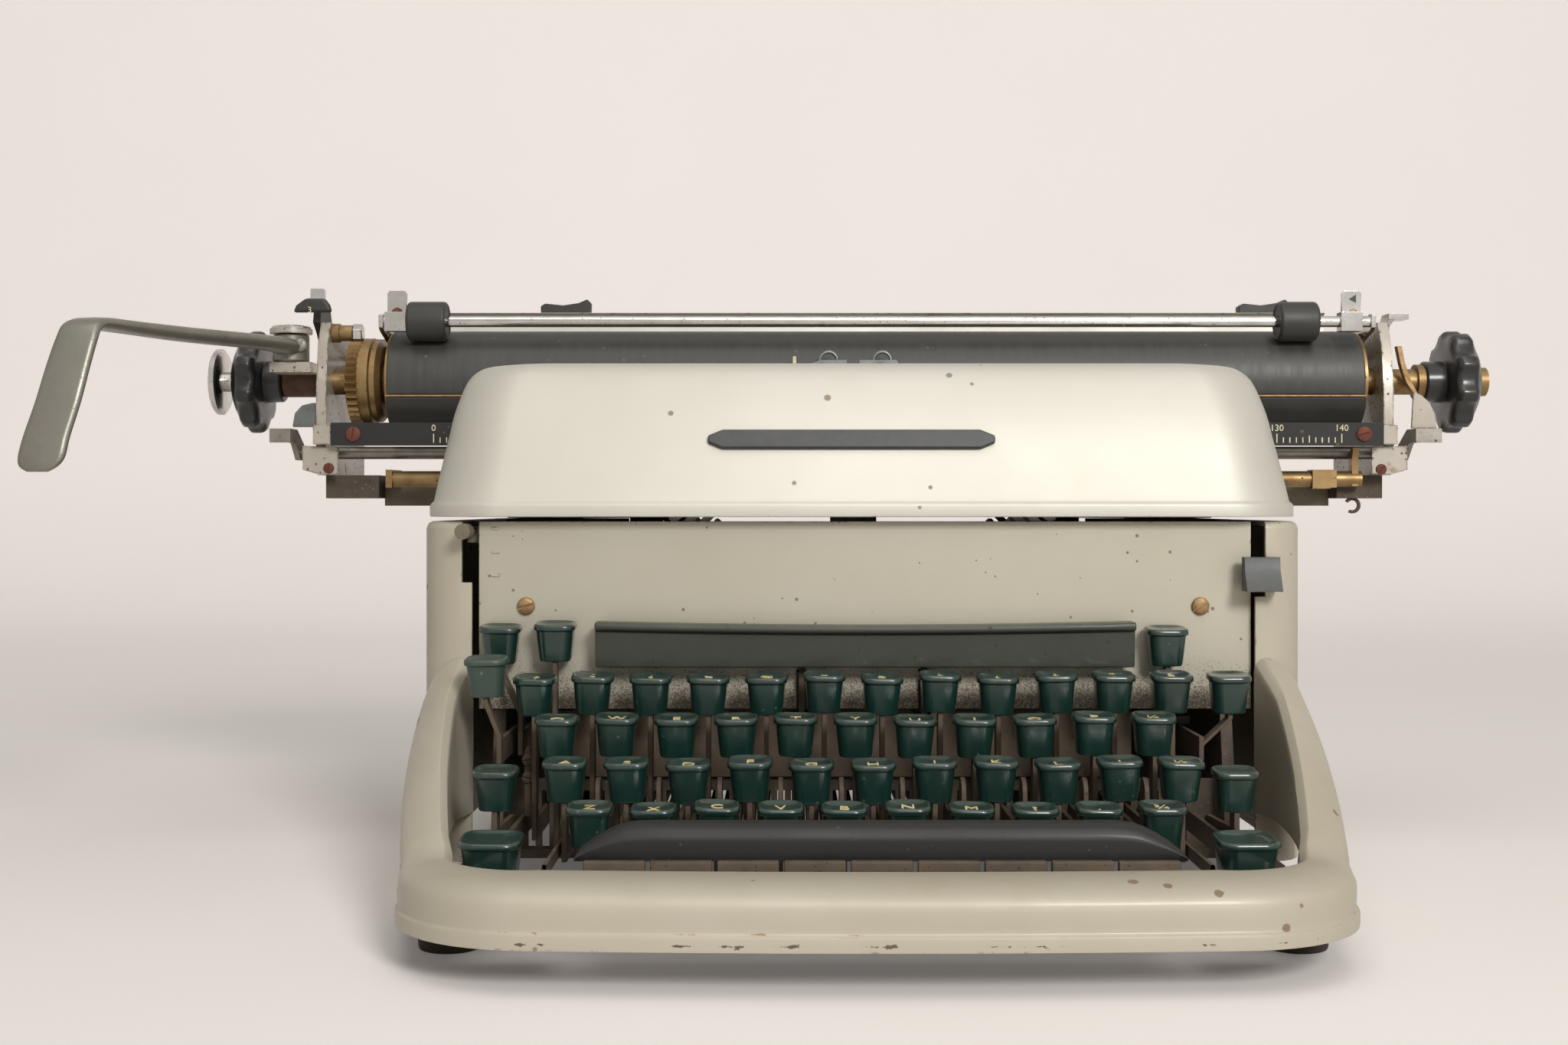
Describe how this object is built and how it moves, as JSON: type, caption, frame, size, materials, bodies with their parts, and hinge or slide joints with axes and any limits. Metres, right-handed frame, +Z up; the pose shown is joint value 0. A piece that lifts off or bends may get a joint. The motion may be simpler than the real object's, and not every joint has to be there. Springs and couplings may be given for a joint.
{
  "type": "wide-carriage typewriter",
  "caption": "Office typewriter with a wide carriage, a hinged metal cover, rows of green keys, a space bar, shift keys, a turning platen and a long return lever.",
  "frame": {"origin": "on the desk, under the middle of the machine's outer box", "axes": "+X to the typist's right along the platen, +Y from the keyboard to the back, +Z up"},
  "size_m": [0.5278, 0.323, 0.222],
  "materials": {
    "enamel": "satin metallic enamel",
    "frame_black": "dull black, dusty",
    "dusty_steel": "rusty brown",
    "steel": "satin",
    "chrome": "polished, pitted",
    "brass": "tarnished",
    "key_green": "gloss",
    "bar_green": "satin",
    "black_plastic": "gloss",
    "platen_rubber": "worn satin",
    "foot_rubber": "matt",
    "scale_blue": "semi-gloss",
    "white_enamel": "gloss, chipped"
  },
  "bodies": {
    "frame": {"base_frame": "frame_black", "keyboard_surround": "enamel", "left_side_panel": "enamel", "right_side_panel": "enamel", "front_panel": "enamel", "rear_panel": "enamel", "rubber_feet": "foot_rubber", "panel_screws": "brass", "key_comb": "dusty_steel", "lever_shafts": "steel", "type_guide": "steel", "carriage_rails": "steel"},
    "type_basket": {"type_segment": "dusty_steel", "type_bars": "steel"},
    "cover": {"top_cover": "enamel"},
    "left_spool": {"ribbon_spool_left": "black_plastic"},
    "right_spool": {"ribbon_spool_right": "black_plastic"},
    "ribbon_knob": {"ribbon_selector": "enamel"},
    "touch_knob": {"touch_selector": "black_plastic"},
    "tabulator": {"tab_bar": "bar_green"},
    "spacer": {"space_bar": "black_plastic"},
    "shift": {"left_shift_key": "key_green", "right_shift_key": "key_green"},
    "left_lock": {"left_shift_lock": "key_green"},
    "right_lock": {"right_shift_lock": "key_green"},
    "tab_set": {"tab_set_key": "key_green"},
    "tab_clear": {"tab_clear_key": "key_green"},
    "margin_set": {"margin_set_key": "key_green"},
    "margin_release": {"margin_release_key": "key_green"},
    "back_space": {"back_space_key": "key_green"},
    "drum": {"mainspring_drum": "steel"},
    "carriage": {"carriage_bed": "frame_black", "left_end_plate": "white_enamel", "right_end_plate": "white_enamel", "margin_scale": "scale_blue", "paper_table": "steel", "feed_pan": "frame_black", "guide_tube": "brass", "margin_rack": "steel"},
    "left_stop": {"left_margin_stop": "black_plastic"},
    "right_stop": {"right_margin_stop": "black_plastic"},
    "platen_roller": {"platen": "platen_rubber", "platen_shaft": "brass", "left_knob": "black_plastic", "right_knob": "black_plastic"},
    "platen_button": {"variable_button": "chrome"},
    "carriage_return": {"return_lever": "steel"},
    "bail": {"paper_bail": "chrome"},
    "rollers": {"bail_rollers": "foot_rubber"},
    "spacing": {"line_space_lever": "frame_black"},
    "paper_release": {"paper_release_lever": "chrome"},
    "release": {"carriage_release": "chrome"},
    "fingers_left_little": {"keys_left_little": "key_green"},
    "fingers_left_ring": {"keys_left_ring": "key_green"},
    "fingers_left_middle": {"keys_left_middle": "key_green"},
    "fingers_left_index": {"keys_left_index": "key_green"},
    "fingers_right_index": {"keys_right_index": "key_green"},
    "fingers_right_middle": {"keys_right_middle": "key_green"},
    "fingers_right_ring": {"keys_right_ring": "key_green"},
    "fingers_right_little": {"keys_right_little": "key_green"}
  },
  "joints": [
    {"name": "cover_hinge", "type": "hinge", "parent": "frame", "child": "cover", "pos_m": [0.00815, 0.058, 0.1795], "axis": [-1, 0, 0], "range_deg": [0, 65]},
    {"name": "left_spool_turn", "type": "hinge", "parent": "frame", "child": "left_spool", "pos_m": [-0.09385, 0.007, 0.138], "axis": [0, 0, 1], "continuous": true},
    {"name": "right_spool_turn", "type": "hinge", "parent": "frame", "child": "right_spool", "pos_m": [0.11015, 0.007, 0.138], "axis": [0, 0, 1], "continuous": true},
    {"name": "ribbon_selector_slide", "type": "slide", "parent": "frame", "child": "ribbon_knob", "axis": [0, 0, -1], "range_m": [0, 0.015]},
    {"name": "touch_selector_slide", "type": "slide", "parent": "frame", "child": "touch_knob", "axis": [0, 0, 1], "range_m": [0, 0.012]},
    {"name": "tab_bar_press", "type": "hinge", "parent": "frame", "child": "tabulator", "pos_m": [0.00815, 0.024, 0.056], "axis": [1, 0, 0], "range_deg": [0, 5], "stiffness_Nm_per_rad": 0.25, "springref_deg": -17.19},
    {"name": "space_bar_press", "type": "hinge", "parent": "frame", "child": "spacer", "pos_m": [0.00815, 0.139, 0.0275], "axis": [1, 0, 0], "range_deg": [0, 1.8], "stiffness_Nm_per_rad": 1.2, "springref_deg": -17.19},
    {"name": "shift_press", "type": "hinge", "parent": "frame", "child": "shift", "pos_m": [0.00815, 0.139, 0.0275], "axis": [1, 0, 0], "range_deg": [0, 2.2], "stiffness_Nm_per_rad": 6, "springref_deg": -17.19},
    {"name": "basket_drop", "type": "slide", "parent": "frame", "child": "type_basket", "axis": [0, 0, -1], "range_m": [0, 0.0065]},
    {"name": "left_lock_press", "type": "hinge", "parent": "shift", "child": "left_lock", "pos_m": [-0.10801, -0.051, 0.0285], "axis": [1, 0, 0], "range_deg": [0, 6], "stiffness_Nm_per_rad": 0.05, "springref_deg": -17.19},
    {"name": "right_lock_press", "type": "hinge", "parent": "shift", "child": "right_lock", "pos_m": [0.12062, -0.051, 0.0285], "axis": [1, 0, 0], "range_deg": [0, 6], "stiffness_Nm_per_rad": 0.05, "springref_deg": -17.19},
    {"name": "carriage_slide", "type": "slide", "parent": "frame", "child": "carriage", "axis": [-1, 0, 0], "range_m": [-0.165, 0.185]},
    {"name": "drum_turn", "type": "hinge", "parent": "frame", "child": "drum", "pos_m": [-0.07185, 0.151, 0.095], "axis": [0, 1, 0], "range_deg": [-400, 400]},
    {"name": "left_stop_slide", "type": "slide", "parent": "carriage", "child": "left_stop", "axis": [1, 0, 0], "range_m": [-0.06, 0.1]},
    {"name": "right_stop_slide", "type": "slide", "parent": "carriage", "child": "right_stop", "axis": [1, 0, 0], "range_m": [-0.1, 0.01]},
    {"name": "platen_turn", "type": "hinge", "parent": "carriage", "child": "platen_roller", "pos_m": [0.00815, 0.091, 0.1838], "axis": [1, 0, 0], "continuous": true},
    {"name": "platen_button_press", "type": "slide", "parent": "platen_roller", "child": "platen_button", "axis": [1, 0, 0], "range_m": [0, 0.003], "stiffness_N_per_m": 400, "springref_m": -0.003},
    {"name": "return_lever_swing", "type": "hinge", "parent": "carriage", "child": "carriage_return", "pos_m": [-0.21285, 0.072, 0.195], "axis": [0, 0, 1], "range_deg": [0, 30], "stiffness_Nm_per_rad": 0.3, "springref_deg": -11.46},
    {"name": "bail_lift", "type": "hinge", "parent": "carriage", "child": "bail", "pos_m": [0.00815, 0.115, 0.196], "axis": [-1, 0, 0], "range_deg": [0, 60]},
    {"name": "bail_roller_turn", "type": "hinge", "parent": "bail", "child": "rollers", "pos_m": [0.00815, 0.074, 0.2065], "axis": [1, 0, 0], "continuous": true},
    {"name": "line_space_turn", "type": "hinge", "parent": "carriage", "child": "spacing", "pos_m": [-0.20585, 0.103, 0.197], "axis": [1, 0, 0], "range_deg": [-10, 10]},
    {"name": "paper_release_pull", "type": "hinge", "parent": "carriage", "child": "paper_release", "pos_m": [0.22415, 0.101, 0.192], "axis": [1, 0, 0], "range_deg": [0, 12]},
    {"name": "carriage_release_press", "type": "hinge", "parent": "carriage", "child": "release", "pos_m": [0.00815, 0.085, 0.155], "axis": [1, 0, 0], "range_deg": [0, 12], "stiffness_Nm_per_rad": 0.2, "springref_deg": -17.19},
    {"name": "tab_set_press", "type": "hinge", "parent": "frame", "child": "tab_set", "pos_m": [0.00815, 0.024, 0.056], "axis": [1, 0, 0], "range_deg": [0, 5], "stiffness_Nm_per_rad": 0.06, "springref_deg": -17.19},
    {"name": "tab_clear_press", "type": "hinge", "parent": "frame", "child": "tab_clear", "pos_m": [0.00815, 0.024, 0.056], "axis": [1, 0, 0], "range_deg": [0, 5], "stiffness_Nm_per_rad": 0.06, "springref_deg": -17.19},
    {"name": "margin_set_press", "type": "hinge", "parent": "frame", "child": "margin_set", "pos_m": [0.00815, 0.024, 0.056], "axis": [1, 0, 0], "range_deg": [0, 5], "stiffness_Nm_per_rad": 0.06, "springref_deg": -17.19},
    {"name": "margin_release_press", "type": "hinge", "parent": "frame", "child": "margin_release", "pos_m": [0.00815, 0.024, 0.056], "axis": [1, 0, 0], "range_deg": [0, 4.5], "stiffness_Nm_per_rad": 0.06, "springref_deg": -17.19},
    {"name": "back_space_press", "type": "hinge", "parent": "frame", "child": "back_space", "pos_m": [0.00815, 0.024, 0.056], "axis": [1, 0, 0], "range_deg": [0, 5], "stiffness_Nm_per_rad": 0.06, "springref_deg": -17.19},
    {"name": "keys_left_little_press", "type": "hinge", "parent": "frame", "child": "fingers_left_little", "pos_m": [0.00815, 0.139, 0.0275], "axis": [1, 0, 0], "range_deg": [0, 2.6], "stiffness_Nm_per_rad": 1.4, "springref_deg": -17.19},
    {"name": "keys_left_ring_press", "type": "hinge", "parent": "frame", "child": "fingers_left_ring", "pos_m": [0.00815, 0.139, 0.0275], "axis": [1, 0, 0], "range_deg": [0, 2.6], "stiffness_Nm_per_rad": 1.4, "springref_deg": -17.19},
    {"name": "keys_left_middle_press", "type": "hinge", "parent": "frame", "child": "fingers_left_middle", "pos_m": [0.00815, 0.139, 0.0275], "axis": [1, 0, 0], "range_deg": [0, 2.6], "stiffness_Nm_per_rad": 1.4, "springref_deg": -17.19},
    {"name": "keys_left_index_press", "type": "hinge", "parent": "frame", "child": "fingers_left_index", "pos_m": [0.00815, 0.139, 0.0275], "axis": [1, 0, 0], "range_deg": [0, 2.6], "stiffness_Nm_per_rad": 1.4, "springref_deg": -17.19},
    {"name": "keys_right_index_press", "type": "hinge", "parent": "frame", "child": "fingers_right_index", "pos_m": [0.00815, 0.139, 0.0275], "axis": [1, 0, 0], "range_deg": [0, 2.6], "stiffness_Nm_per_rad": 1.4, "springref_deg": -17.19},
    {"name": "keys_right_middle_press", "type": "hinge", "parent": "frame", "child": "fingers_right_middle", "pos_m": [0.00815, 0.139, 0.0275], "axis": [1, 0, 0], "range_deg": [0, 2.6], "stiffness_Nm_per_rad": 1.4, "springref_deg": -17.19},
    {"name": "keys_right_ring_press", "type": "hinge", "parent": "frame", "child": "fingers_right_ring", "pos_m": [0.00815, 0.139, 0.0275], "axis": [1, 0, 0], "range_deg": [0, 2.6], "stiffness_Nm_per_rad": 1.4, "springref_deg": -17.19},
    {"name": "keys_right_little_press", "type": "hinge", "parent": "frame", "child": "fingers_right_little", "pos_m": [0.00815, 0.139, 0.0275], "axis": [1, 0, 0], "range_deg": [0, 2.6], "stiffness_Nm_per_rad": 1.4, "springref_deg": -17.19}
  ],
  "couplings": [
    {"joint": "basket_drop", "follows": "shift_press", "m_per_rad": 0.165},
    {"joint": "drum_turn", "follows": "carriage_slide", "rad_per_m": -35.714}
  ]
}
